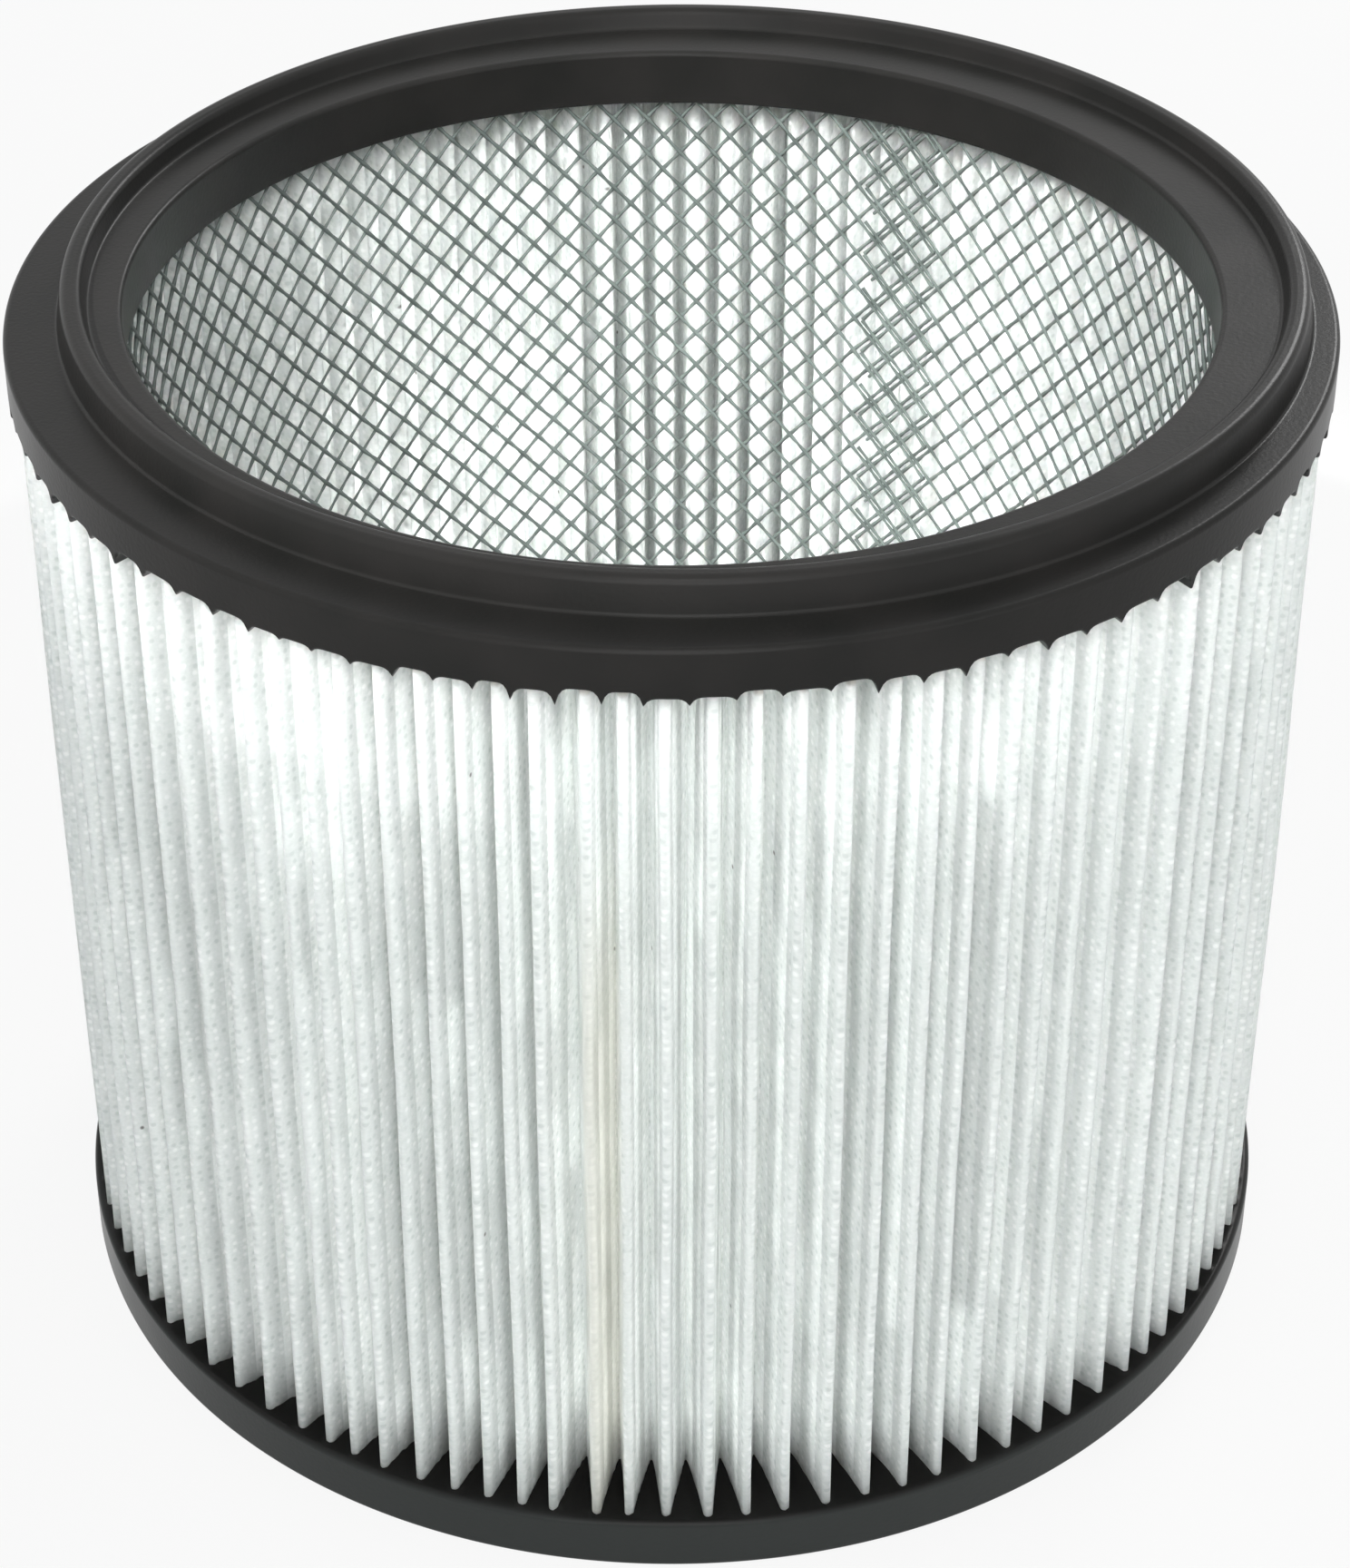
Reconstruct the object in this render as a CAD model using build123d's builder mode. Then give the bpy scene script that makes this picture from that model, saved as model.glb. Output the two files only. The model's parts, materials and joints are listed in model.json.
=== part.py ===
"""Cartridge filter for a wet and dry vacuum cleaner.

A zigzag ring of filter sheet stands between two moulded end caps, round a core of diamond
mesh. The open middle slides over the cleaner's float cage, and the raised lip of the top
cap seals against the cleaner's head. Millimetres, +Z up, origin at the centre of the base.
"""
import os
from math import acos, atan2, cos, degrees, hypot, radians, sin

from build123d import *

os.makedirs("parts", exist_ok=True)

# Opening that slides over the cleaner's cage
opening_diameter = 164.5
opening_edge_bevel = 0.8

# Core of diamond mesh, just behind the wall of the opening
mesh_setback = 0.9
mesh_wall = 0.6
mesh_columns = 15
mesh_gaps_per_column = 4
mesh_strand_width = 2.4
mesh_end_band = 2.0

# Pleated filter sheet, outside the mesh
pack_height = 152.0
pack_clearance = 0.3
pleat_count = 100
pleat_depth = 14.65
sheet_thickness = 0.6
fold_radius = 0.9
outside_facet_count = 3
inside_facet_count = 1

# Both end caps reach a little past the tips of the pleats
cap_overhang = 1.3
cap_edge_bevel = 0.7

# Bottom end cap
base_cap_height = 9.0

# Top end cap: flange, inner ledge and the sealing lip between them
flange_height = 7.0
ledge_rise = 2.4
ledge_width = 7.4
lip_rise = 5.6
lip_base_width = 4.6
lip_draft = 0.85
lip_edge_bevel = 0.9

# The lip was cast a little off the centre of its flange
lip_shift_x = 2.0
lip_shift_y = 2.2

# Radii from the opening outwards
opening_radius = opening_diameter / 2
mesh_inner_radius = opening_radius + mesh_setback
mesh_outer_radius = mesh_inner_radius + mesh_wall
valley_radius = mesh_outer_radius + pack_clearance
tip_radius = valley_radius + pleat_depth
cap_radius = tip_radius + cap_overhang
lip_inner_radius = opening_radius + ledge_width
lip_outer_radius = lip_inner_radius + lip_base_width

# Heights from the base upwards
pack_top = base_cap_height + pack_height
flange_top = pack_top + flange_height
ledge_top = flange_top + ledge_rise
lip_top = flange_top + lip_rise


# Bottom end cap: a plain ring with bevelled edges
with BuildPart() as bottom_end_cap:
    with BuildSketch(Plane.XZ) as base_section:
        with Locations(((opening_radius + cap_radius) / 2, base_cap_height / 2)):
            Rectangle(cap_radius - opening_radius, base_cap_height)
        base_outside = base_section.vertices().group_by(Axis.X)[-1]
        chamfer(base_outside, cap_edge_bevel)
        base_inside = base_section.vertices().group_by(Axis.X)[0]
        chamfer(base_inside, opening_edge_bevel)
    revolve(axis=Axis.Z)
bottom_end_cap.part.label = "bottom_end_cap"
export_step(bottom_end_cap.part, "parts/bottom_end_cap.step")


# Top end cap: the flange is centred on the opening, the ledge and lip on the shifted axis
lip_axis = Axis((lip_shift_x, lip_shift_y, 0), (0, 0, 1))
lip_plane = Plane(origin=(lip_shift_x, lip_shift_y, 0), x_dir=(1, 0, 0), z_dir=(0, -1, 0))

with BuildPart() as top_end_cap:
    with BuildSketch(Plane.XZ) as flange_section:
        with Locations((cap_radius / 2, pack_top + flange_height / 2)):
            Rectangle(cap_radius, flange_height)
        flange_edge = flange_section.vertices().group_by(Axis.Y)[-1].sort_by(Axis.X)[-1]
        chamfer(flange_edge, cap_edge_bevel)
    revolve(axis=Axis.Z)

    with BuildSketch(lip_plane) as lip_section:
        with BuildLine():
            Polyline(
                (0, pack_top),
                (lip_outer_radius, pack_top),
                (lip_outer_radius, flange_top),
                (lip_outer_radius - lip_draft, lip_top),
                (lip_inner_radius + lip_draft, lip_top),
                (lip_inner_radius, ledge_top),
                (0, ledge_top),
                close=True,
            )
        make_face()
        lip_crest = lip_section.vertices().group_by(Axis.Y)[-1]
        chamfer(lip_crest, lip_edge_bevel)
    revolve(axis=lip_axis)

    with BuildSketch(Plane.XY.offset(pack_top)):
        Circle(opening_radius)
    extrude(amount=lip_top - pack_top, mode=Mode.SUBTRACT)
    opening_edges = top_end_cap.edges().filter_by(GeomType.CIRCLE).group_by(SortBy.RADIUS)[0]
    opening_rim = opening_edges.sort_by(Axis.Z)[-1]
    chamfer(opening_rim, opening_edge_bevel)
top_end_cap.part.label = "top_end_cap"
export_step(top_end_cap.part, "parts/top_end_cap.step")


# Pleated sheet: each fold is a round about its own centre, and each flank runs straight
# from the round of a tip to the round of the next valley
half_pitch = 180 / pleat_count
inner_fold_radius = fold_radius - sheet_thickness
tip_centre_radius = tip_radius - fold_radius
valley_centre_radius = valley_radius + fold_radius
tip_centre = Vector(tip_centre_radius, 0)
valley_centre = Vector(valley_centre_radius, 0).rotate(Axis.Z, half_pitch)
tip_to_valley = valley_centre - tip_centre
tip_to_valley_angle = degrees(atan2(tip_to_valley.Y, tip_to_valley.X))
flank_offset = fold_radius + inner_fold_radius
tip_turn = tip_to_valley_angle - degrees(acos(flank_offset / tip_to_valley.length))
valley_turn = tip_turn - half_pitch


def fold_corners(angle, centre_radius, facing, round_radius, turn, facets):
    """Corners of one faceted fold, from the flank before it to the flank after it."""
    step = 2 * turn / (facets + 1)
    reach = round_radius / cos(radians(step / 2))
    centre = Vector(centre_radius, 0).rotate(Axis.Z, angle)
    first = angle + facing - turn + step / 2
    return [centre + Vector(reach, 0).rotate(Axis.Z, first + step * k) for k in range(facets + 1)]


def pleat_outline(tip_round, tip_facets, valley_round, valley_facets):
    """Closed zigzag of one side of the sheet, tip and valley in turn."""
    corners = []
    for pleat in range(pleat_count):
        angle = 2 * half_pitch * pleat
        corners += fold_corners(angle, tip_centre_radius, 0, tip_round, tip_turn, tip_facets)
        angle += half_pitch
        corners += fold_corners(
            angle, valley_centre_radius, 180, valley_round, -valley_turn, valley_facets
        )
    return corners


outer_side = pleat_outline(fold_radius, outside_facet_count, inner_fold_radius, inside_facet_count)
inner_side = pleat_outline(inner_fold_radius, inside_facet_count, fold_radius, outside_facet_count)

with BuildPart() as pleated_media:
    with BuildSketch(Plane.XY.offset(base_cap_height)):
        with BuildLine():
            Polyline(*outer_side, close=True)
        make_face()
        with BuildLine():
            Polyline(*inner_side, close=True)
        make_face(mode=Mode.SUBTRACT)
    extrude(amount=pack_height)
pleated_media.part.label = "pleated_media"
export_step(pleated_media.part, "parts/pleated_media.step")


# Mesh core: a thin many-sided tube, with two flats to each column of diamond gaps. The
# columns are staggered, and each has one gap cut in half by the band at an end.
mesh_flat_angle = 180 / mesh_columns
mesh_low = base_cap_height + mesh_end_band
mesh_span = pack_height - 2 * mesh_end_band
cell_height = mesh_span / (mesh_gaps_per_column - 0.5)
cell_width = 2 * mesh_outer_radius * sin(radians(mesh_flat_angle))
cell_inradius = cell_width * cell_height / 2 / hypot(cell_width, cell_height)
gap_scale = 1 - mesh_strand_width / 2 / cell_inradius
gap_half_width = cell_width / 2 * gap_scale
gap_half_height = cell_height / 2 * gap_scale


def diamond_column(lowest):
    """Prisms that pierce one column of gaps through the wall on the +X side."""
    with BuildPart() as column:
        with BuildSketch(Plane.YZ):
            with Locations(*[(0, lowest + cell_height * k) for k in range(mesh_gaps_per_column)]):
                Polygon(
                    (gap_half_width, 0),
                    (0, gap_half_height),
                    (-gap_half_width, 0),
                    (0, -gap_half_height),
                )
            with Locations((0, mesh_low + mesh_span / 2)):
                Rectangle(cell_width, mesh_span, mode=Mode.INTERSECT)
        extrude(amount=2 * mesh_outer_radius)
    return column.part


low_column = diamond_column(mesh_low)
high_column = diamond_column(mesh_low + cell_height / 2)

with BuildPart() as inner_mesh:
    with BuildSketch(Plane.XY.offset(base_cap_height)):
        RegularPolygon(mesh_outer_radius, 2 * mesh_columns)
        RegularPolygon(mesh_inner_radius, 2 * mesh_columns, mode=Mode.SUBTRACT)
    extrude(amount=pack_height)
    with PolarLocations(0, mesh_columns):
        add(low_column, mode=Mode.SUBTRACT)
    with PolarLocations(0, mesh_columns, start_angle=mesh_flat_angle):
        add(high_column, mode=Mode.SUBTRACT)
inner_mesh.part.label = "inner_mesh"
export_step(inner_mesh.part, "parts/inner_mesh.step")
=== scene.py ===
# %% [markdown]
# # A cartridge filter, dressed in Blender
# The solids come in as a fixed frame: two end caps, a pleated sheet and a mesh core. They
# have the right sizes, so every piece made here is worked out from them, in metres, with +Z
# up and the viewer on the -Y side. Sizes are written in millimetres and scaled once.

# %% Load the frame
import json
import random
from math import cos, pi, radians, sin

import bpy
import numpy as np
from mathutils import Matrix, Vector


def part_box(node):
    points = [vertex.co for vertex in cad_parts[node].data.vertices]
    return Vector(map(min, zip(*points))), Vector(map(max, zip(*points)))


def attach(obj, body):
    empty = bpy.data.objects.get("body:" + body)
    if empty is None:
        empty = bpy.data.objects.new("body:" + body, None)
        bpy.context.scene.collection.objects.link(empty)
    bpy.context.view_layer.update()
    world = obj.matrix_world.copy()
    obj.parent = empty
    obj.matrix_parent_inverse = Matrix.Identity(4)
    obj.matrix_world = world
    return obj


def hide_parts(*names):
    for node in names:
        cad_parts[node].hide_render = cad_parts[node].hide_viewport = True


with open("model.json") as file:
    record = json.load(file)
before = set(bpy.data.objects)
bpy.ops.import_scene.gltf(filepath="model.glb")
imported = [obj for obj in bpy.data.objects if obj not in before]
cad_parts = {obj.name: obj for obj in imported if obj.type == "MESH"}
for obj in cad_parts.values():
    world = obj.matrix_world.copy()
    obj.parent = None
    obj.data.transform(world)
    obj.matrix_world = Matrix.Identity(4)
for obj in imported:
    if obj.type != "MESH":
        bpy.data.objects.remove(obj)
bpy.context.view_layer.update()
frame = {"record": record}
MM = 0.001

# %% Sizes read from the frame
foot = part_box("pleated_media")[0].z / MM
pack_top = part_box("pleated_media")[1].z / MM
tip_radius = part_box("pleated_media")[1].x / MM
cap_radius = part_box("bottom_end_cap")[1].x / MM
lip_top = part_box("top_end_cap")[1].z / MM
opening_radius = next(
    mount["dims"]["r_mm"] for mount in frame["record"]["mounts"] if mount["name"] == "cage_opening"
)
print("cap radius", cap_radius, "opening radius", opening_radius, "lip top", lip_top)

# %% [markdown]
# ## Camera
# The camera comes first. Its place was worked out
# from the ellipses of the caps in the photograph: a long lens, close by, looking down at
# about 35 degrees. A camera could also be moved by hand until it fits, but then two people
# would never get the same one.

# %% Set up the camera
camera_distance = 516.64
camera_height = 435.86
camera_pitch = 34.737
camera_yaw = 0.057
focal_pixels = 4215.2
frame_height_pixels = 1728


def put(name, data):
    """An object in the scene that holds a mesh, a camera or a lamp."""
    thing = bpy.data.objects.new(name, data)
    bpy.context.scene.collection.objects.link(thing)
    return thing


lens = bpy.data.cameras.new("camera")
lens.sensor_width = 36
lens.lens = focal_pixels / frame_height_pixels * lens.sensor_width
lens.clip_start = 0.01
camera = put("camera", lens)
camera.location = (0, -camera_distance * MM, camera_height * MM)
camera.rotation_euler = (radians(90 - camera_pitch), 0, radians(-camera_yaw))
bpy.context.scene.camera = camera
print("lens", round(lens.lens, 2), "mm")

# %% [markdown]
# ## Helpers
# A material or a Geometry Nodes tree is a list of nodes with settings and links. One small
# function adds a node, sets its properties and colour stops, and fills its sockets, with a
# value or with a link from another node. Another turns a web colour into the linear numbers
# that shaders work with. A Mix node keeps its sockets for numbers, vectors and colours side
# by side under the same names, so its colours are picked by their places in the list.

# %% Read a colour, add a node
first_colour = 6
second_colour = 7
mixed_colour = 2


def linear(web_colour):
    """Linear red, green, blue and alpha of a colour such as '#e0e4e2'."""
    parts = [int(web_colour[place : place + 2], 16) / 255 for place in (1, 3, 5)]
    bent = [part / 12.92 if part <= 0.04045 else ((part + 0.055) / 1.055) ** 2.4 for part in parts]
    return (*bent, 1.0)


def add(tree, kind, sockets=None, stops=(), **settings):
    """Adds a node, sets its properties and colour stops, then gives each socket a value or a link."""
    made = tree.nodes.new(kind)
    for name, value in settings.items():
        setattr(made, name, value)
    for number, (position, web_colour) in enumerate(stops):
        made.color_ramp.elements[number].position = position
        made.color_ramp.elements[number].color = linear(web_colour)
    for key, value in (sockets or {}).items():
        if isinstance(value, bpy.types.NodeSocket):
            tree.links.new(value, made.inputs[key])
        else:
            made.inputs[key].default_value = value
    return made


print("white reads as", linear("#ffffff"))

# %% Start a material
def empty_tree(owner):
    """The node tree of a material or a world, cleared of what Blender puts there."""
    owner.use_nodes = True
    owner.node_tree.nodes.clear()
    return owner.node_tree


def new_material(name, surface):
    """A material with a Principled shader, whose sockets take the values and links of surface."""
    material = bpy.data.materials.new(name)
    tree = empty_tree(material)
    shader = add(tree, "ShaderNodeBsdfPrincipled", surface)
    add(tree, "ShaderNodeOutputMaterial", {"Surface": shader.outputs["BSDF"]})
    return material, tree, shader


# %% [markdown]
# ## Cast polyurethane
# Both caps are poured from black polyurethane that sets soft and satin. To the eye it is a
# very dark, slightly warm grey with a broad dull sheen, faintly mottled, with a fine grain
# that only shows where light grazes it. The side of the bottom cap is painted a lighter grey
# than its top, as painted light thrown up from the pale floor, so the colour changes just
# under that cap's top edge.
# One flat colour would do from afar, but noise in the colour, the roughness and the bump, at
# sizes in real millimetres, is what makes it look poured. The roughness stays high enough for
# the picture's noise filter, which draws hard edges where a finish nears a mirror.

# %% Make the urethane
grain_size = 0.7
grain_depth = 0.08
grain_strength = 0.35
mottle_size = 14.0
least_roughness = 0.29
most_roughness = 0.34
floor_light_top = 8.3
floor_light_gone_above = 8.95
floor_light_share = 0.85

urethane, tree, shader = new_material(
    "cast_polyurethane_satin_black", {"IOR": 1.5, "Specular IOR Level": 0.12}
)
place = add(tree, "ShaderNodeTexCoord").outputs["Object"]
mottle = add(
    tree, "ShaderNodeTexNoise", {"Vector": place, "Scale": 1 / (mottle_size * MM), "Detail": 2.0}
).outputs["Fac"]
grain = add(
    tree, "ShaderNodeTexNoise", {"Vector": place, "Scale": 1 / (grain_size * MM), "Detail": 2.0}
).outputs["Fac"]
shade = add(tree, "ShaderNodeValToRGB", {"Fac": mottle}, ((0.3, "#1a1a19"), (0.75, "#201f1e")))
# Below the cap's top edge the side is painted a lighter grey: painted light from the pale floor.
floor_light_band = add(
    tree,
    "ShaderNodeMapRange",
    {
        "Value": add(tree, "ShaderNodeSeparateXYZ", {"Vector": place}).outputs["Z"],
        "From Min": floor_light_top * MM,
        "From Max": floor_light_gone_above * MM,
        "To Min": floor_light_share,
        "To Max": 0.0,
    },
)
tone_and_floor_light = add(
    tree,
    "ShaderNodeMix",
    {
        "Factor": floor_light_band.outputs["Result"],
        first_colour: shade.outputs["Color"],
        second_colour: linear("#343736"),
    },
    data_type="RGBA",
)
dullness = add(
    tree,
    "ShaderNodeMapRange",
    {
        "Value": mottle,
        "From Min": 0.3,
        "From Max": 0.7,
        "To Min": least_roughness,
        "To Max": most_roughness,
    },
)
bump = add(
    tree,
    "ShaderNodeBump",
    {"Height": grain, "Strength": grain_strength, "Distance": grain_depth * MM},
)
tree.links.new(tone_and_floor_light.outputs[mixed_colour], shader.inputs["Base Color"])
tree.links.new(dullness.outputs["Result"], shader.inputs["Roughness"])
tree.links.new(bump.outputs["Normal"], shader.inputs["Normal"])
print("made", urethane.name)

# %% [markdown]
# ## Spunbond sheet
# The filter sheet is a felt of polyester threads, pressed between hot rollers that leave
# rows of small bonding dots. To the eye it is a cool white, slightly cloudy, with a fine
# sparkle from the dots. Light that enters the felt spreads in it and comes out close by, so
# the grooves between the pleats are hardly darker than their tips. Subsurface scattering
# does that, in its Burley form, which is much quicker than following each path of light.
#
# A photograph of felt could be laid over the sheet, but a pattern made of nodes has no seams
# and keeps its real size. It follows the sheet, not the room, so it reads two attributes that
# the folding step leaves on the mesh: how far along the strip a point is, and how high. The
# dots are drawn a little coarser than the real ones, because finer dots would not show at the
# size of the picture. The scattering would blur a bump, so the light and shade of the dots and
# part of the light on the threads are painted into the colour: painted highlights and painted
# shade. A faint yellow stain shows where the ends of the strip are glued, and a
# narrow band under the top cap is soaked with resin.

# %% Make the sheet's finish
cloud_size = 9.0
thread_size = 0.6
thread_and_highlight_share = 0.6
scatter_reach = 7.5

spunbond, tree, shader = new_material(
    "spunbond_polyester_white",
    {
        "Roughness": 0.72,
        "Diffuse Roughness": 1.0,
        "Specular IOR Level": 0.3,
        "Subsurface Weight": 1.0,
        "Subsurface Radius": (1.0, 1.0, 1.0),
        "Subsurface Scale": scatter_reach * MM,
    },
)
shader.subsurface_method = "BURLEY"
along = add(tree, "ShaderNodeAttribute", attribute_name="along").outputs["Fac"]
up = add(tree, "ShaderNodeAttribute", attribute_name="up").outputs["Fac"]
sheet_place = add(tree, "ShaderNodeCombineXYZ", {"X": along, "Y": up}).outputs["Vector"]
clouds = add(
    tree, "ShaderNodeTexNoise", {"Vector": sheet_place, "Scale": 1 / (cloud_size * MM), "Detail": 3.0}
)
cloud_tint = add(
    tree, "ShaderNodeValToRGB", {"Fac": clouds.outputs["Fac"]}, ((0.25, "#dadfdc"), (0.75, "#e6e9e7"))
)
threads = add(
    tree, "ShaderNodeTexNoise", {"Vector": sheet_place, "Scale": 1 / (thread_size * MM), "Detail": 3.0}
)
# Lighter threads: partly the felt's own threads, partly painted highlight on the raised threads.
thread_and_highlight_mask = add(
    tree,
    "ShaderNodeMapRange",
    {
        "Value": threads.outputs["Fac"],
        "From Min": 0.35,
        "From Max": 0.7,
        "To Min": 0.0,
        "To Max": thread_and_highlight_share,
    },
)
print("threads", thread_size, "mm, clouds", cloud_size, "mm")

# %% Press the dots, scatter the specks
dot_spacing = 1.5
dot_core = 0.16
dot_rim = 0.34
dot_share = 0.7
speck_spacing = 16.0
speck_core = 0.012
speck_rim = 0.028
speck_share = 0.8
speck_rarity = 0.8

dots = add(
    tree,
    "ShaderNodeTexVoronoi",
    {"Vector": sheet_place, "Scale": 1 / (dot_spacing * MM), "Randomness": 0.35},
    voronoi_dimensions="2D",
)
dot_mask = add(
    tree,
    "ShaderNodeMapRange",
    {
        "Value": dots.outputs["Distance"],
        "From Min": dot_core,
        "From Max": dot_rim,
        "To Min": dot_share,
        "To Max": 0.0,
    },
)
# Each pressed dot is painted lighter or darker at random: painted sparkle and painted shade of the dots'
# relief.
dot_sparkle_and_shade = add(
    tree, "ShaderNodeValToRGB", {"Fac": dots.outputs["Color"]}, ((0.3, "#ccd2cf"), (0.7, "#fafbfa"))
)
specks = add(
    tree,
    "ShaderNodeTexVoronoi",
    {"Vector": sheet_place, "Scale": 1 / (speck_spacing * MM)},
    voronoi_dimensions="2D",
)
speck_mask = add(
    tree,
    "ShaderNodeMapRange",
    {
        "Value": specks.outputs["Distance"],
        "From Min": speck_core,
        "From Max": speck_rim,
        "To Min": speck_share,
        "To Max": 0.0,
    },
)
few_specks = add(
    tree, "ShaderNodeMath", {0: specks.outputs["Color"], 1: speck_rarity}, operation="GREATER_THAN"
)
speck = add(
    tree,
    "ShaderNodeMath",
    {0: speck_mask.outputs["Result"], 1: few_specks.outputs["Value"]},
    operation="MULTIPLY",
)
print("dots", dot_spacing, "mm apart")

# %% Place the stain and the soaked band
stain_angle = -6.4
stain_half_width = 2.6
stain_share = 0.55
stain_full_below = 95.0
stain_gone_above = 140.0
soaked_from = pack_top - 1.5
soaked_to = pack_top - 0.1
soaked_share = 0.75

room_place = add(
    tree, "ShaderNodeSeparateXYZ", {"Vector": add(tree, "ShaderNodeTexCoord").outputs["Object"]}
).outputs
toward_viewer = add(tree, "ShaderNodeMath", {0: room_place["Y"], 1: -1.0}, operation="MULTIPLY")
bearing = add(
    tree, "ShaderNodeMath", {0: room_place["X"], 1: toward_viewer.outputs["Value"]}, operation="ARCTAN2"
)
from_stain = add(
    tree, "ShaderNodeMath", {0: bearing.outputs["Value"], 1: radians(stain_angle)}, operation="SUBTRACT"
)
stain_side = add(tree, "ShaderNodeMath", {0: from_stain.outputs["Value"]}, operation="ABSOLUTE")
stain_band = add(
    tree,
    "ShaderNodeMapRange",
    {
        "Value": stain_side.outputs["Value"],
        "From Min": 0.0,
        "From Max": radians(stain_half_width),
        "To Min": stain_share,
        "To Max": 0.0,
    },
    interpolation_type="SMOOTHSTEP",
)
stain_reach = add(
    tree,
    "ShaderNodeMapRange",
    {
        "Value": room_place["Z"],
        "From Min": stain_full_below * MM,
        "From Max": stain_gone_above * MM,
        "To Min": 1.0,
        "To Max": 0.0,
    },
    interpolation_type="SMOOTHSTEP",
)
stain = add(
    tree,
    "ShaderNodeMath",
    {0: stain_band.outputs["Result"], 1: stain_reach.outputs["Result"]},
    operation="MULTIPLY",
)
soaked = add(
    tree,
    "ShaderNodeMapRange",
    {
        "Value": room_place["Z"],
        "From Min": soaked_from * MM,
        "From Max": soaked_to * MM,
        "To Min": 0.0,
        "To Max": soaked_share,
    },
)
print("stain", 2 * stain_half_width, "degrees wide")

# %% Lay the tints over each other
sheet_tint = cloud_tint.outputs["Color"]
for share, tint in (
    (thread_and_highlight_mask.outputs["Result"], linear("#f0f2f1")),
    (dot_mask.outputs["Result"], dot_sparkle_and_shade.outputs["Color"]),
    (speck.outputs["Value"], linear("#57534d")),
    (stain.outputs["Value"], linear("#e0ddd0")),
    (soaked.outputs["Result"], linear("#9a8f7c")),
):
    layer = add(
        tree,
        "ShaderNodeMix",
        {"Factor": share, first_colour: sheet_tint, second_colour: tint},
        data_type="RGBA",
    )
    sheet_tint = layer.outputs[mixed_colour]
tree.links.new(sheet_tint, shader.inputs["Base Color"])
print("made", spunbond.name)

# %% [markdown]
# ## Painted mesh
# The core is thin steel mesh under dull grey paint. To the eye each strand is a dark,
# greenish grey line with a soft light along it. One colour would do from afar, but paint is
# thin in places, and patches of lighter paint keep the strands from looking printed.

# %% Make the mesh paint
paint_patch = 3.0

mesh_paint, tree, shader = new_material("dull_grey_mesh_paint", {"Roughness": 0.5})
place = add(tree, "ShaderNodeTexCoord").outputs["Object"]
patches = add(
    tree, "ShaderNodeTexNoise", {"Vector": place, "Scale": 1 / (paint_patch * MM), "Detail": 2.0}
)
paint = add(
    tree, "ShaderNodeValToRGB", {"Fac": patches.outputs["Fac"]}, ((0.3, "#444b48"), (0.7, "#5f6763"))
)
tree.links.new(paint.outputs["Color"], shader.inputs["Base Color"])
print("made", mesh_paint.name)

# %% [markdown]
# ## Where the folds lie
# A folding machine never spaces pleats quite evenly. Even steps would be simpler, but they
# look like a gear, so the front of the pack follows the spacing seen in the photograph, and
# the rest is spaced at random from a fixed seed. Each fold is rounded later, and rounding a
# sharp corner pulls it back, so every corner is first pushed out by just as much as its own
# rounding will take away.

# %% Space the pleats
front_tips = [
    -63.8, -60.0, -56.2, -52.6, -48.8, -44.7, -40.5, -36.5, -33.2, -30.4, -27.2, -23.5,
    -20.0, -16.8, -13.7, -10.9, -6.8, -3.8, -0.5, 3.2, 6.6, 10.2, 14.0, 17.7,
    21.3, 24.8, 28.5, 32.2, 35.8, 39.4, 43.7, 47.7, 50.8, 54.0, 57.7, 61.2,
]
pleat_count = 100
pitch_spread = 0.12
draw = random.Random(7)

hidden = pleat_count - len(front_tips)
steps = [1 + draw.uniform(-pitch_spread, pitch_spread) for _ in range(hidden + 1)]
share = (360 + front_tips[0] - front_tips[-1]) / sum(steps)
tip_angles = list(front_tips)
for step in steps[:-1]:
    tip_angles.append(tip_angles[-1] + step * share)
half_way = pleat_count // 2 + len(front_tips) // 2
tip_angles = [angle - 360 for angle in tip_angles[half_way:]] + tip_angles[:half_way]
next_tips = tip_angles[1:] + [tip_angles[0] + 360]
valley_angles = [(a + b) / 2 for a, b in zip(tip_angles, next_tips)]
valley_angles = [valley_angles[-1] - 360] + valley_angles
print(len(tip_angles), "tips from", round(tip_angles[0], 1), "to", round(tip_angles[-1], 1))

# %% Corners of the fold line
sheet_thickness = 0.5
fold_radius = 0.46
pleat_depth = 12.4
valley_radius = tip_radius - pleat_depth
fitting_rounds = 4

bearings = []
for valley, tip in zip(valley_angles, tip_angles):
    bearings += [valley, tip]
aims = [
    tip_radius - sheet_thickness / 2 if place % 2 else valley_radius + sheet_thickness / 2
    for place in range(len(bearings))
]


def on_circle(radius, bearing):
    """A point at a bearing in degrees from the viewer's side, counted towards +X."""
    return np.array((radius * sin(radians(bearing)), -radius * cos(radians(bearing))))


reaches = list(aims)
for _ in range(fitting_rounds):
    corners = [on_circle(reach, bearing) for reach, bearing in zip(reaches, bearings)]
    for place in range(len(corners)):
        before = corners[place - 1] - corners[place]
        after = corners[(place + 1) % len(corners)] - corners[place]
        cosine = before @ after / np.linalg.norm(before) / np.linalg.norm(after)
        half_angle = np.arccos(cosine) / 2
        pull = fold_radius * (1 / sin(half_angle) - 1)
        reaches[place] = aims[place] + (pull if place % 2 else -pull)
print("corners reach from", round(min(reaches), 2), "to", round(max(reaches), 2), "mm")

# %% [markdown]
# ## Rules as trees
# Both the sheet and the mesh follow a rule, so each is made by a Geometry Nodes tree with
# named inputs for its sizes. What the two trees share is written once: how a tree starts with
# its inputs, how slow noise becomes a small sideways move, how a tree ends with smooth
# shading and a finish, and how its result is kept as a plain mesh.

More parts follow.
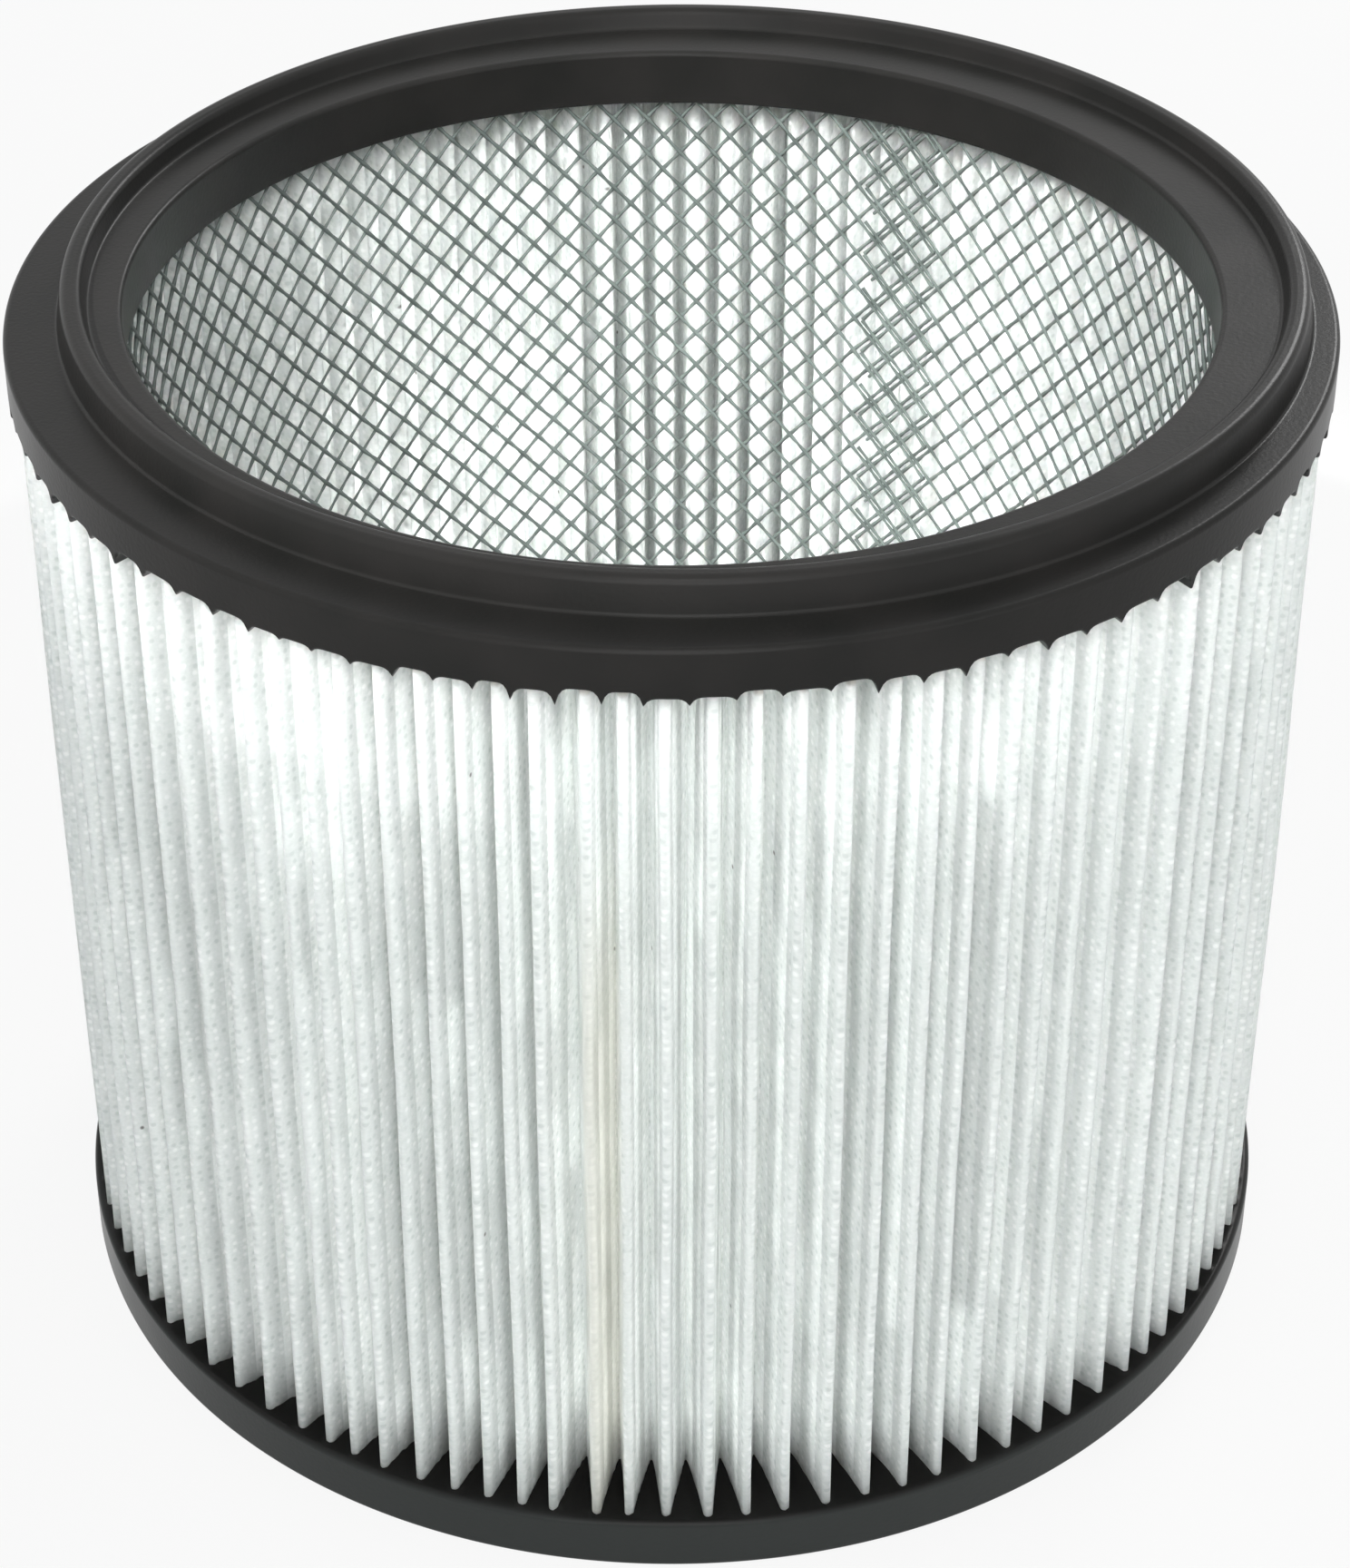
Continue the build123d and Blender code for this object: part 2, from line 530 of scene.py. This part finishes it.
# %% Start a tree, sway its points, end it
def new_tree(name, inputs, output):
    """An empty tree with named inputs and one shape to give back, and the inputs' sockets."""
    tree = bpy.data.node_groups.new(name, "GeometryNodeTree")
    for label, kind in inputs.items():
        tree.interface.new_socket(label, in_out="INPUT", socket_type="NodeSocket" + kind)
    tree.interface.new_socket(output, in_out="OUTPUT", socket_type="NodeSocketGeometry")
    return tree, add(tree, "NodeGroupInput").outputs


def sway(tree, noise, amount, ways):
    """Makes a noise's colour a move either way of up to half the amount, only along some axes."""
    centred = add(
        tree, "ShaderNodeVectorMath", {0: noise.outputs["Color"], 1: (0.5, 0.5, 0.5)}, operation="SUBTRACT"
    )
    scaled = add(
        tree, "ShaderNodeVectorMath", {0: centred.outputs["Vector"], "Scale": amount}, operation="SCALE"
    )
    kept = add(tree, "ShaderNodeVectorMath", {0: scaled.outputs["Vector"], 1: ways}, operation="MULTIPLY")
    return kept.outputs["Vector"]


def end_tree(tree, shape, finish):
    """Smooth shading, plain geometry and the finish, and the shape is given back."""
    smooth = add(tree, "GeometryNodeSetShadeSmooth", {"Geometry": shape})
    real = add(tree, "GeometryNodeRealizeInstances", {"Geometry": smooth.outputs["Geometry"]})
    finished = add(
        tree, "GeometryNodeSetMaterial", {"Geometry": real.outputs["Geometry"], "Material": finish}
    )
    add(tree, "NodeGroupOutput", {0: finished.outputs["Geometry"]})
    print(tree.name, "has", len(tree.nodes), "nodes")


# %% Run a tree and keep its mesh
def grow(name, start_mesh, tree, values, thickness=0.0, side=0):
    """Runs a Geometry Nodes tree on a mesh and returns an object that holds the plain result."""
    maker = put(name + "_maker", start_mesh)
    modifier = maker.modifiers.new("rule", "NODES")
    modifier.node_group = tree
    for socket in tree.interface.items_tree:
        if socket.in_out == "INPUT" and socket.name in values:
            modifier[socket.identifier] = values[socket.name]
    if thickness:
        wall = maker.modifiers.new("wall", "SOLIDIFY")
        wall.thickness = thickness
        wall.offset = side
    evaluated = maker.evaluated_get(bpy.context.evaluated_depsgraph_get())
    mesh = bpy.data.meshes.new_from_object(evaluated)
    mesh.name = name
    bpy.data.objects.remove(maker)
    return put(name, mesh)


def hand_over(piece, node):
    """The piece rides on the one body and stands for its solid, which is hidden."""
    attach(piece, "root")
    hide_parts(node)
    count = sum(len(polygon.vertices) - 2 for polygon in piece.data.polygons)
    print(piece.name, "stands for", node, "with", count, "triangles")


# %% [markdown]
# ## Folding the sheet
# The pack is one strip folded up and down a hundred times. It could be drawn as a flat
# pattern and bent by hand, but a tree does it faster: the fold line becomes a curve, every
# corner is rounded, the curve is swept up to the height of the pack, and slow noise makes the
# folds a little uneven. The tree also stores how far along the strip and how high each point
# is, for the finish.
#
# The sheet is grown twice, as an outer layer and a backing of half its thickness each. Light
# spreads inside a layer, and in one thin wall it would come out of the other face and make
# the pleats glow from behind.

# %% Round the fold line and sweep it up
cuts_per_flank = 2
steps_per_fold = 6

fold_tree, given = new_tree(
    "fold_sheet",
    {
        "Fold line": "Geometry",
        "Fold radius": "Float",
        "Foot height": "Float",
        "Sheet height": "Float",
        "Unevenness": "Float",
        "Rows": "Int",
        "Seed": "Int",
        "Finish": "Material",
    },
    "Sheet",
)
line = add(fold_tree, "GeometryNodeMeshToCurve", {"Mesh": given["Fold line"]})
cut_line = add(
    fold_tree, "GeometryNodeSubdivideCurve", {"Curve": line.outputs["Curve"], "Cuts": cuts_per_flank}
)
rounded = add(
    fold_tree,
    "GeometryNodeFilletCurve",
    {
        "Curve": cut_line.outputs["Curve"],
        "Radius": given["Fold radius"],
        "Count": steps_per_fold,
        "Limit Radius": True,
    },
    mode="POLY",
)
upright = add(fold_tree, "GeometryNodeSetCurveNormal", {"Curve": rounded.outputs["Curve"]}, mode="Z_UP")
travelled = add(fold_tree, "GeometryNodeSplineParameter")
measured = add(
    fold_tree,
    "GeometryNodeStoreNamedAttribute",
    {"Geometry": upright.outputs["Curve"], "Name": "along", "Value": travelled.outputs["Length"]},
    data_type="FLOAT",
    domain="POINT",
)
downward = add(fold_tree, "ShaderNodeMath", {0: given["Sheet height"], 1: -1.0}, operation="MULTIPLY")
edge_end = add(fold_tree, "ShaderNodeCombineXYZ", {"Y": downward.outputs["Value"]})
edge = add(fold_tree, "GeometryNodeCurvePrimitiveLine", {"End": edge_end.outputs["Vector"]})
edge_rows = add(
    fold_tree, "GeometryNodeResampleCurve", {"Curve": edge.outputs["Curve"], "Count": given["Rows"]}
)
swept = add(
    fold_tree,
    "GeometryNodeCurveToMesh",
    {"Curve": measured.outputs["Geometry"], "Profile Curve": edge_rows.outputs["Curve"]},
)
print("fold line rounded in", steps_per_fold, "steps")

# %% Let the folds drift, mark the height
drifts_per_metre = 70.0
drift_stretch = (1.0, 1.0, 0.25)

spot = add(fold_tree, "GeometryNodeInputPosition").outputs["Position"]
stretched = add(fold_tree, "ShaderNodeVectorMath", {0: spot, 1: drift_stretch}, operation="MULTIPLY")
drift = add(
    fold_tree,
    "ShaderNodeTexNoise",
    {
        "Vector": stretched.outputs["Vector"],
        "W": given["Seed"],
        "Scale": drifts_per_metre,
        "Detail": 1.0,
    },
    noise_dimensions="4D",
)
sideways = sway(fold_tree, drift, given["Unevenness"], (1.0, 1.0, 0.0))
lift = add(fold_tree, "ShaderNodeCombineXYZ", {"Z": given["Foot height"]})
moved = add(
    fold_tree, "ShaderNodeVectorMath", {0: sideways, 1: lift.outputs["Vector"]}, operation="ADD"
)
placed = add(
    fold_tree,
    "GeometryNodeSetPosition",
    {"Geometry": swept.outputs["Mesh"], "Offset": moved.outputs["Vector"]},
)
spot_now = add(fold_tree, "GeometryNodeInputPosition").outputs["Position"]
height_now = add(fold_tree, "ShaderNodeSeparateXYZ", {"Vector": spot_now})
marked = add(
    fold_tree,
    "GeometryNodeStoreNamedAttribute",
    {"Geometry": placed.outputs["Geometry"], "Name": "up", "Value": height_now.outputs["Z"]},
    data_type="FLOAT",
    domain="POINT",
)
end_tree(fold_tree, marked.outputs["Geometry"], given["Finish"])

# %% Fold the sheet
sunk_at_foot = 1.5
sunk_at_top = 3.0
sheet_unevenness = 0.9

fold_line = bpy.data.meshes.new("fold_line")
fold_points = [(*(on_circle(reach, bearing) * MM), 0.0) for reach, bearing in zip(reaches, bearings)]
fold_edges = [(place, (place + 1) % len(fold_points)) for place in range(len(fold_points))]
fold_line.from_pydata(fold_points, fold_edges, [])
fold_values = {
    "Fold radius": fold_radius * MM,
    "Foot height": (foot - sunk_at_foot) * MM,
    "Sheet height": (pack_top - foot + sunk_at_foot + sunk_at_top) * MM,
    "Unevenness": sheet_unevenness * MM,
    "Rows": 11,
    "Seed": 3,
    "Finish": spunbond,
}
for layer, side in (("pleated_sheet", 1), ("pleated_backing", -1)):
    sheet = grow(layer, fold_line, fold_tree, fold_values, sheet_thickness / 2 * MM, side)
    hand_over(sheet, "pleated_media")

# %% [markdown]
# ## Rolling the mesh
# The real core is a flat sheet of diamond mesh, rolled into a tube with its ends overlapped,
# which shows as a band of doubled strands on the far side. A tube with holes cut in it could
# stand for it, but strands look right from every side, so the tree does what the maker does:
# it lays two slanting families of strands flat, swollen where they cross, trims them to the
# sheet, and rolls the sheet.

# %% Lay two families of strands
roll_tree, given = new_tree(
    "roll_mesh",
    {
        "Strand pitch": "Float",
        "Strand run": "Float",
        "Strand radius": "Float",
        "Strand points": "Int",
        "Knot swell": "Float",
        "Sheet width": "Float",
        "Sheet height": "Float",
        "Foot height": "Float",
        "Roll radius": "Float",
        "Roll start": "Float",
        "Layer step": "Float",
        "Unevenness": "Float",
        "Finish": "Material",
    },
    "Mesh",
)
family_depth = 0.65

row_width = add(
    roll_tree, "ShaderNodeMath", {0: given["Sheet width"], 1: given["Strand run"]}, operation="ADD"
)
row_steps = add(
    roll_tree, "ShaderNodeMath", {0: row_width.outputs[0], 1: given["Strand pitch"]}, operation="DIVIDE"
)
row_count = add(roll_tree, "ShaderNodeMath", {0: row_steps.outputs[0]}, operation="CEIL")
row_step = add(roll_tree, "ShaderNodeCombineXYZ", {"X": given["Strand pitch"]})
point_number = add(roll_tree, "GeometryNodeInputIndex")
between_knots = add(
    roll_tree, "ShaderNodeMath", {0: point_number.outputs["Index"], 1: 2.0}, operation="MODULO"
)
swell = add(
    roll_tree,
    "ShaderNodeMix",
    {"Factor": between_knots.outputs[0], "A": given["Knot swell"], "B": 1.0},
    data_type="FLOAT",
)
strands = add(roll_tree, "GeometryNodeJoinGeometry")
for slant, first_share in ((1.0, -1.0), (-1.0, 0.0)):
    run = add(roll_tree, "ShaderNodeMath", {0: given["Strand run"], 1: slant}, operation="MULTIPLY")
    strand_end = add(
        roll_tree, "ShaderNodeCombineXYZ", {"X": run.outputs[0], "Z": given["Sheet height"]}
    )
    strand = add(roll_tree, "GeometryNodeCurvePrimitiveLine", {"End": strand_end.outputs["Vector"]})
    points = add(
        roll_tree,
        "GeometryNodeResampleCurve",
        {"Curve": strand.outputs["Curve"], "Count": given["Strand points"]},
    )
    swollen = add(
        roll_tree,
        "GeometryNodeSetCurveRadius",
        {"Curve": points.outputs["Curve"], "Radius": swell.outputs[0]},
    )
    first_x = add(
        roll_tree, "ShaderNodeMath", {0: given["Strand run"], 1: first_share}, operation="MULTIPLY"
    )
    depth = add(
        roll_tree,
        "ShaderNodeMath",
        {0: given["Strand radius"], 1: family_depth * slant},
        operation="MULTIPLY",
    )
    row_start = add(
        roll_tree, "ShaderNodeCombineXYZ", {"X": first_x.outputs[0], "Y": depth.outputs[0]}
    )
    row = add(
        roll_tree,
        "GeometryNodeMeshLine",
        {
            "Count": row_count.outputs[0],
            "Start Location": row_start.outputs["Vector"],
            "Offset": row_step.outputs["Vector"],
        },
    )
    copies = add(
        roll_tree,
        "GeometryNodeInstanceOnPoints",
        {"Points": row.outputs["Mesh"], "Instance": swollen.outputs["Curve"]},
    )
    roll_tree.links.new(copies.outputs["Instances"], strands.inputs["Geometry"])
laid = add(roll_tree, "GeometryNodeRealizeInstances", {"Geometry": strands.outputs["Geometry"]})
print("strands laid flat by", len(roll_tree.nodes), "nodes")

# %% Trim the strands and make them wires
nudges_per_metre = 120.0
wire_sides = 4

spot = add(roll_tree, "GeometryNodeInputPosition").outputs["Position"]
flat_spot = add(roll_tree, "ShaderNodeSeparateXYZ", {"Vector": spot}).outputs
before_edge = add(roll_tree, "ShaderNodeMath", {0: flat_spot["X"], 1: 0.0}, operation="LESS_THAN")
past_edge = add(
    roll_tree, "ShaderNodeMath", {0: flat_spot["X"], 1: given["Sheet width"]}, operation="GREATER_THAN"
)
outside = add(
    roll_tree,
    "ShaderNodeMath",
    {0: before_edge.outputs[0], 1: past_edge.outputs[0]},
    operation="MAXIMUM",
)
trimmed = add(
    roll_tree,
    "GeometryNodeDeleteGeometry",
    {"Geometry": laid.outputs["Geometry"], "Selection": outside.outputs[0]},
    domain="POINT",
)
wobble = add(
    roll_tree, "ShaderNodeTexNoise", {"Vector": spot, "Scale": nudges_per_metre, "Detail": 1.0}
)
bent = add(
    roll_tree,
    "GeometryNodeSetPosition",
    {
        "Geometry": trimmed.outputs["Geometry"],
        "Offset": sway(roll_tree, wobble, given["Unevenness"], (1.0, 0.0, 1.0)),
    },
)
wire = add(
    roll_tree,
    "GeometryNodeCurvePrimitiveCircle",
    {"Resolution": wire_sides, "Radius": given["Strand radius"]},
)
tubes = add(
    roll_tree,
    "GeometryNodeCurveToMesh",
    {
        "Curve": bent.outputs["Geometry"],
        "Profile Curve": wire.outputs["Curve"],
        "Scale": add(roll_tree, "GeometryNodeInputRadius").outputs["Radius"],
        "Fill Caps": True,
    },
)
print("wires with", wire_sides, "sides")

# %% Roll the flat sheet
turned = add(
    roll_tree, "ShaderNodeMath", {0: flat_spot["X"], 1: given["Roll radius"]}, operation="DIVIDE"
)
bearing = add(
    roll_tree, "ShaderNodeMath", {0: turned.outputs[0], 1: given["Roll start"]}, operation="ADD"
)
clockwise = add(roll_tree, "ShaderNodeMath", {0: bearing.outputs[0], 1: -1.0}, operation="MULTIPLY")
reach = add(
    roll_tree, "ShaderNodeMath", {0: flat_spot["Y"], 1: given["Roll radius"]}, operation="ADD"
)
rolled_share = add(
    roll_tree, "ShaderNodeMath", {0: flat_spot["X"], 1: given["Sheet width"]}, operation="DIVIDE"
)
layered = add(
    roll_tree,
    "ShaderNodeMath",
    {0: rolled_share.outputs[0], 1: given["Layer step"], 2: reach.outputs[0]},
    operation="MULTIPLY_ADD",
)
height = add(
    roll_tree, "ShaderNodeMath", {0: flat_spot["Z"], 1: given["Foot height"]}, operation="ADD"
)
unrolled_spot = add(
    roll_tree, "ShaderNodeCombineXYZ", {"Y": layered.outputs[0], "Z": height.outputs[0]}
)
rolled_spot = add(
    roll_tree,
    "ShaderNodeVectorRotate",
    {"Vector": unrolled_spot.outputs["Vector"], "Angle": clockwise.outputs[0]},
    rotation_type="Z_AXIS",
)
rolled = add(
    roll_tree,
    "GeometryNodeSetPosition",
    {"Geometry": tubes.outputs["Mesh"], "Position": rolled_spot.outputs["Vector"]},
)
end_tree(roll_tree, rolled.outputs["Geometry"], given["Finish"])

# %% Roll the mesh
diamonds_round = 92.25
diamonds_high = 24
points_per_diamond = 4
strand_radius = 0.27
roll_radius = 83.25
overlap_degrees = 9.0
seam_start = 23.5
layer_step = 0.3
mesh_unevenness = 0.5
mesh_height = pack_top - foot

round_the_roll = 2 * pi * roll_radius
diamond_width = round_the_roll / diamonds_round
mesh_core = grow(
    "rolled_mesh",
    bpy.data.meshes.new("mesh_start"),
    roll_tree,
    {
        "Strand pitch": diamond_width * MM,
        "Strand run": diamonds_high * diamond_width * MM,
        "Strand radius": strand_radius * MM,
        "Strand points": points_per_diamond * diamonds_high + 1,
        "Knot swell": 1.5,
        "Sheet width": round_the_roll * (1 + overlap_degrees / 360) * MM,
        "Sheet height": mesh_height * MM,
        "Foot height": foot * MM,
        "Roll radius": roll_radius * MM,
        "Roll start": radians(seam_start),
        "Layer step": layer_step * MM,
        "Unevenness": mesh_unevenness * MM,
        "Finish": mesh_paint,
    },
)
hand_over(mesh_core, "inner_mesh")

# %% [markdown]
# ## Hoops for the caps
# Each cap was poured in a round mould, so it is a section turned about the axis. A spin would
# make it, but the lip of the top cap sits off centre and the resin edge follows the pleats,
# so the cap is built from hoops: every point of the section becomes a circle with its own
# centre, and neighbouring circles are joined. Corners of the section are rounded first, as
# they are in a mould, because the thin lights along them are what shows the shape. A short
# flat beside each rounding keeps the shading of the large faces even.

# %% Round the corners of a section
flat_beside_rounding = 0.12


def round_section(corners, pieces=4):
    """Rounds the corners (radius, height, shift, rounding) of a closed section."""
    points = []
    for place, (radius, height, shift, rounding) in enumerate(corners):
        here = np.array((radius, height))
        before = np.array(corners[place - 1][:2]) - here
        after = np.array(corners[(place + 1) % len(corners)][:2]) - here
        before /= np.linalg.norm(before)
        after /= np.linalg.norm(after)
        if not rounding:
            points.append((radius, height, shift))
            continue
        half_angle = np.arccos(np.clip(before @ after, -1, 1)) / 2
        back = rounding / np.tan(half_angle)
        centre = here + (before + after) / np.linalg.norm(before + after) * rounding / sin(half_angle)
        start = here + before * back - centre
        end = here + after * back - centre
        sweep = pi - 2 * half_angle
        points.append((*(centre + start + before * flat_beside_rounding), shift))
        for step in range(pieces + 1):
            part = step / pieces
            spoke = (start * sin((1 - part) * sweep) + end * sin(part * sweep)) / sin(sweep)
            points.append((*(centre + spoke), shift))
        points.append((*(centre + end + after * flat_beside_rounding), shift))
    return np.array(points)


# %% Walk round the pleats and join the hoops
steps_per_pleat = 12

turn = []
within = []
for low, high in zip(valley_angles[:-1], valley_angles[1:]):
    for step in range(steps_per_pleat):
        turn.append(low + (high - low) * step / steps_per_pleat)
        within.append(2 * step / steps_per_pleat - 1)
turn = np.radians(turn)
from_tip = np.abs(within)
before_tip = np.array(within) < 0


def join_hoops(name, radii, heights, shifts, offset, material):
    """A closed ring through hoops, each a row of radii and heights round the turn."""
    x = radii * np.sin(turn) + shifts * offset[0]
    y = -radii * np.cos(turn) + shifts * offset[1]
    corners = np.stack([x, y, heights], axis=-1).reshape(-1, 3) * MM
    hoops, around = radii.shape
    faces = []
    for hoop in range(hoops):
        low = hoop * around
        high = (hoop + 1) % hoops * around
        for step in range(around):
            after = (step + 1) % around
            faces.append((low + step, high + step, high + after, low + after))
    mesh = bpy.data.meshes.new(name)
    mesh.from_pydata(corners.tolist(), [], faces)
    mesh.materials.append(material)
    mesh.shade_smooth()
    return put(name, mesh)


print(len(turn), "steps round each cap")

# %% [markdown]
# ## Top cap
# The flange is centred on the opening, but the lip and ledge were cast a little off centre,
# so the flange is wide on the left and narrow on the right. Where the wet urethane met the
# pleats its lower edge ran up over each rounded tip and hung down between them, and that
# scalloped edge is what makes the cap look poured round the sheet. It could be cut out of a
# plain ring, but moving the lowest hoops up and down keeps one clean mesh.

# %% Draw the top cap's section
lip_shift = (2.0, 2.2)
lip_rise = 5.6
lip_base_width = 4.6
lip_draft = 0.85
ledge_rise = 2.4
ledge_width = 7.4

flange_top = lip_top - lip_rise
ledge_top = flange_top + ledge_rise
lip_inner = opening_radius + ledge_width
lip_outer = lip_inner + lip_base_width
top_corners = [
    (opening_radius, pack_top, 0, 0.5),
    (opening_radius, ledge_top, 0, 0.8),
    (lip_inner, ledge_top, 1, 0.6),
    (lip_inner + lip_draft, lip_top, 1, 1.2),
    (lip_outer - lip_draft, lip_top, 1, 1.2),
    (lip_outer, flange_top, 1, 0.5),
    (cap_radius, flange_top, 0, 0.8),
    (cap_radius, pack_top, 0, 0.4),
]
section = round_section(top_corners)
radii = np.repeat(section[:, :1], len(turn), axis=1)
heights = np.repeat(section[:, 1:2], len(turn), axis=1)
shifts = section[:, 2:3]
print("top cap has", len(section), "hoops")

# %% Scallop its edge and make the top cap
scallop_sharpness = 5
scallop_height = 3.0
scallop_start = 97.0
scallop_blend = 2.0

arch_draw = random.Random(11)
arches = [arch_draw.uniform(-0.8, 0.3) for _ in tip_angles]
notches = [arch_draw.uniform(1.0, 2.5) for _ in tip_angles]
notches.append(notches[0])
arch_height = np.repeat(arches, steps_per_pleat)
notch_before = np.repeat(notches[:-1], steps_per_pleat)
notch_after = np.repeat(notches[1:], steps_per_pleat)
notch_depth = np.where(before_tip, notch_before, notch_after)
notch_share = from_tip**scallop_sharpness
scallop = arch_height * (1 - notch_share) - notch_depth * notch_share
at_outside = np.clip((radii - scallop_start) / scallop_blend, 0, 1)
at_foot = np.clip((pack_top + scallop_height - heights) / scallop_height, 0, 1)
heights = heights + at_outside * at_foot * scallop
top_cap = join_hoops("top_cap_moulded", radii, heights, shifts, lip_shift, urethane)
hand_over(top_cap, "top_end_cap")

# %% [markdown]
# ## Bottom cap
# The pleats stand in a shallow pool of the same urethane. Between the tips its top shows as
# black triangles, and where it wets the sheet it climbs a little. The pool could be a flat
# face, but the climb catches light at the foot of each groove, so the height of the pool is
# worked out from how near each point is to the folded sheet. Two slow waves keep the outer
# edge from being perfectly level.

# %% Draw the bottom cap's section
pool_radii = [84.0, 84.8, 85.8, 87.0, 88.5, 90.0, 91.5, 93.0, 94.5, 96.0, 97.2, 98.2]

base_corners = [
    (opening_radius, 0.0, 0, 0.8),
    (opening_radius, foot, 0, 0.8),
    *[(radius, foot, 0, 0) for radius in pool_radii],
    (cap_radius, foot, 0, 0.9),
    (cap_radius, 0.0, 0, 0.7),
]
section = round_section(base_corners)
radii = np.repeat(section[:, :1], len(turn), axis=1)
heights = np.repeat(section[:, 1:2], len(turn), axis=1)
shifts = section[:, 2:3]
print("bottom cap has", len(section), "hoops")

# %% Raise the pool and make the bottom cap
climb_height = 0.9
climb_reach = 0.5
pool_start = 83.5
pool_end = 99.0
edge_waves = ((0.16, 7, 0.6), (0.12, 17, 2.1))
wave_start_height = 5.0
wave_rise = 4.0
wave_start_radius = 98.0
wave_blend = 1.5

depth_share = np.clip((radii - valley_radius) / pleat_depth, 0, 1)
half_pitch = np.repeat(np.diff(valley_angles) / 2, steps_per_pleat)
sheet_gap = radii * np.radians(half_pitch) * np.abs(from_tip - (1 - depth_share))
climb = climb_height * np.exp(-sheet_gap / climb_reach) * np.clip(pool_end - radii, 0, 1)
on_pool = (heights > foot - 0.01) & (radii > pool_start)
slow_wave = sum(size * np.sin(count * turn + phase) for size, count, phase in edge_waves)
at_top = np.clip((heights - wave_start_height) / wave_rise, 0, 1)
at_outside = np.clip((radii - wave_start_radius) / wave_blend, 0, 1)
heights = heights + on_pool * climb + at_top * at_outside * slow_wave
base_cap = join_hoops("bottom_cap_moulded", radii, heights, shifts, (0, 0), urethane)
hand_over(base_cap, "bottom_end_cap")

# %% [markdown]
# ## Floor and light
# The cartridge stands on a plain pale floor. The floor and the room show white to the camera
# and in reflections, but light the object at a plain level, and the floor keeps a soft
# shadow. More light would whiten the background too, but it would bleach the pleats first.
#
# A large soft lamp in front lights the pleats evenly, a smaller one above it draws the lights
# along the edges of the caps, a weak one fills from the right, and one behind lights the far
# rim. A narrow lamp throws the bright patch on the left under the flange, and two narrower
# ones shine through the opening on to the far wall. The narrow lamps are kept out of
# reflections, because they would glare on the black caps.

# %% Lay the floor
floor_half = 3.0
floor_whiteness = 0.88


def seen_share(tree):
    """1 for a ray from the camera, a reflection or a clear surface, and 0 for soft light."""
    rays = add(tree, "ShaderNodeLightPath").outputs
    seen = rays["Is Camera Ray"]
    for ray in ("Is Glossy Ray", "Is Transmission Ray"):
        seen = add(tree, "ShaderNodeMath", {0: seen, 1: rays[ray]}, operation="MAXIMUM").outputs[0]
    return seen


floor_material = bpy.data.materials.new("pale_floor")
tree = empty_tree(floor_material)
whiten = add(tree, "ShaderNodeMath", {0: seen_share(tree), 1: floor_whiteness}, operation="MULTIPLY")
matt = add(tree, "ShaderNodeBsdfDiffuse", {"Color": linear("#efefed")})
white = add(tree, "ShaderNodeEmission", {"Color": linear("#ffffff"), "Strength": 1.0})
mixed = add(
    tree,
    "ShaderNodeMixShader",
    {0: whiten.outputs[0], 1: matt.outputs["BSDF"], 2: white.outputs["Emission"]},
)
add(tree, "ShaderNodeOutputMaterial", {"Surface": mixed.outputs["Shader"]})

floor_mesh = bpy.data.meshes.new("floor")
floor_mesh.from_pydata(
    [(x * floor_half, y * floor_half, 0) for x, y in ((-1, -1), (1, -1), (1, 1), (-1, 1))],
    [],
    [(0, 1, 2, 3)],
)
floor_mesh.materials.append(floor_material)
floor = put("floor", floor_mesh)
print("floor", 2 * floor_half, "m wide")

# %% Light the room
room_strength = 0.48

world = bpy.data.worlds.new("room")
bpy.context.scene.world = world
tree = empty_tree(world)
soft = add(tree, "ShaderNodeBackground", {"Color": linear("#eef2f4"), "Strength": room_strength})
white = add(tree, "ShaderNodeBackground", {"Color": linear("#ffffff"), "Strength": 1.0})
mixed = add(
    tree,
    "ShaderNodeMixShader",
    {0: seen_share(tree), 1: soft.outputs["Background"], 2: white.outputs["Background"]},
)
add(tree, "ShaderNodeOutputWorld", {"Surface": mixed.outputs["Shader"]})
print("room light", room_strength)

# %% Hang the lamps
upper_rim = (0, 0, 0.165)
far_wall = (0, 0.008, 0.165)
narrow = {"spot_size": radians(4.2), "spot_blend": 0.3, "shadow_soft_size": 0.06}


def hang_lamp(name, kind, spot, aim, power, **shape):
    """A lamp at one point, turned towards another, in metres and watts."""
    lamp = bpy.data.lights.new(name, kind)
    lamp.energy = power
    for setting, value in shape.items():
        setattr(lamp, setting, value)
    holder = put(name, lamp)
    holder.location = spot
    holder.rotation_euler = (Vector(aim) - Vector(spot)).to_track_quat("-Z", "Y").to_euler()
    holder.visible_glossy = kind == "AREA"
    print(name, power, "W")


hang_lamp("front_softbox", "AREA", (0, -1.15, 0.4), (0, 0, 0.03), 4.9, size=0.7)
hang_lamp("edge_lamp", "AREA", (0, -0.95, 1.15), (0, 0, 0.15), 2.5, size=0.2)
hang_lamp("fill_softbox", "AREA", (0.9, -0.85, 0.2), (0, 0, 0.05), 1.0, size=0.5)
hang_lamp(
    "sun_patch",
    "SPOT",
    (-0.68, -0.81, 1.225),
    upper_rim,
    76.0,
    spot_size=radians(6.7),
    spot_blend=0.2,
    shadow_soft_size=0.03,
)
hang_lamp("opening_lamp", "SPOT", (-0.6, -0.86, 1.215), far_wall, 365.0, **narrow)
hang_lamp("opening_fill", "SPOT", (0.42, -0.95, 1.215), far_wall, 275.0, **narrow)
hang_lamp("rim_lamp", "AREA", (0.62, 1.18, 0.9), (0, 0, 0.17), 6.0, size=0.4)

# %% Limit the bounces, keep colours plain
# Light bounces many times between white pleats, and four bounces keep the render quick
bounces = 4

bpy.context.scene.cycles.max_bounces = bounces
bpy.context.scene.cycles.diffuse_bounces = bounces
bpy.context.scene.view_settings.view_transform = "Standard"
print("colours shown as", bpy.context.scene.view_settings.view_transform)
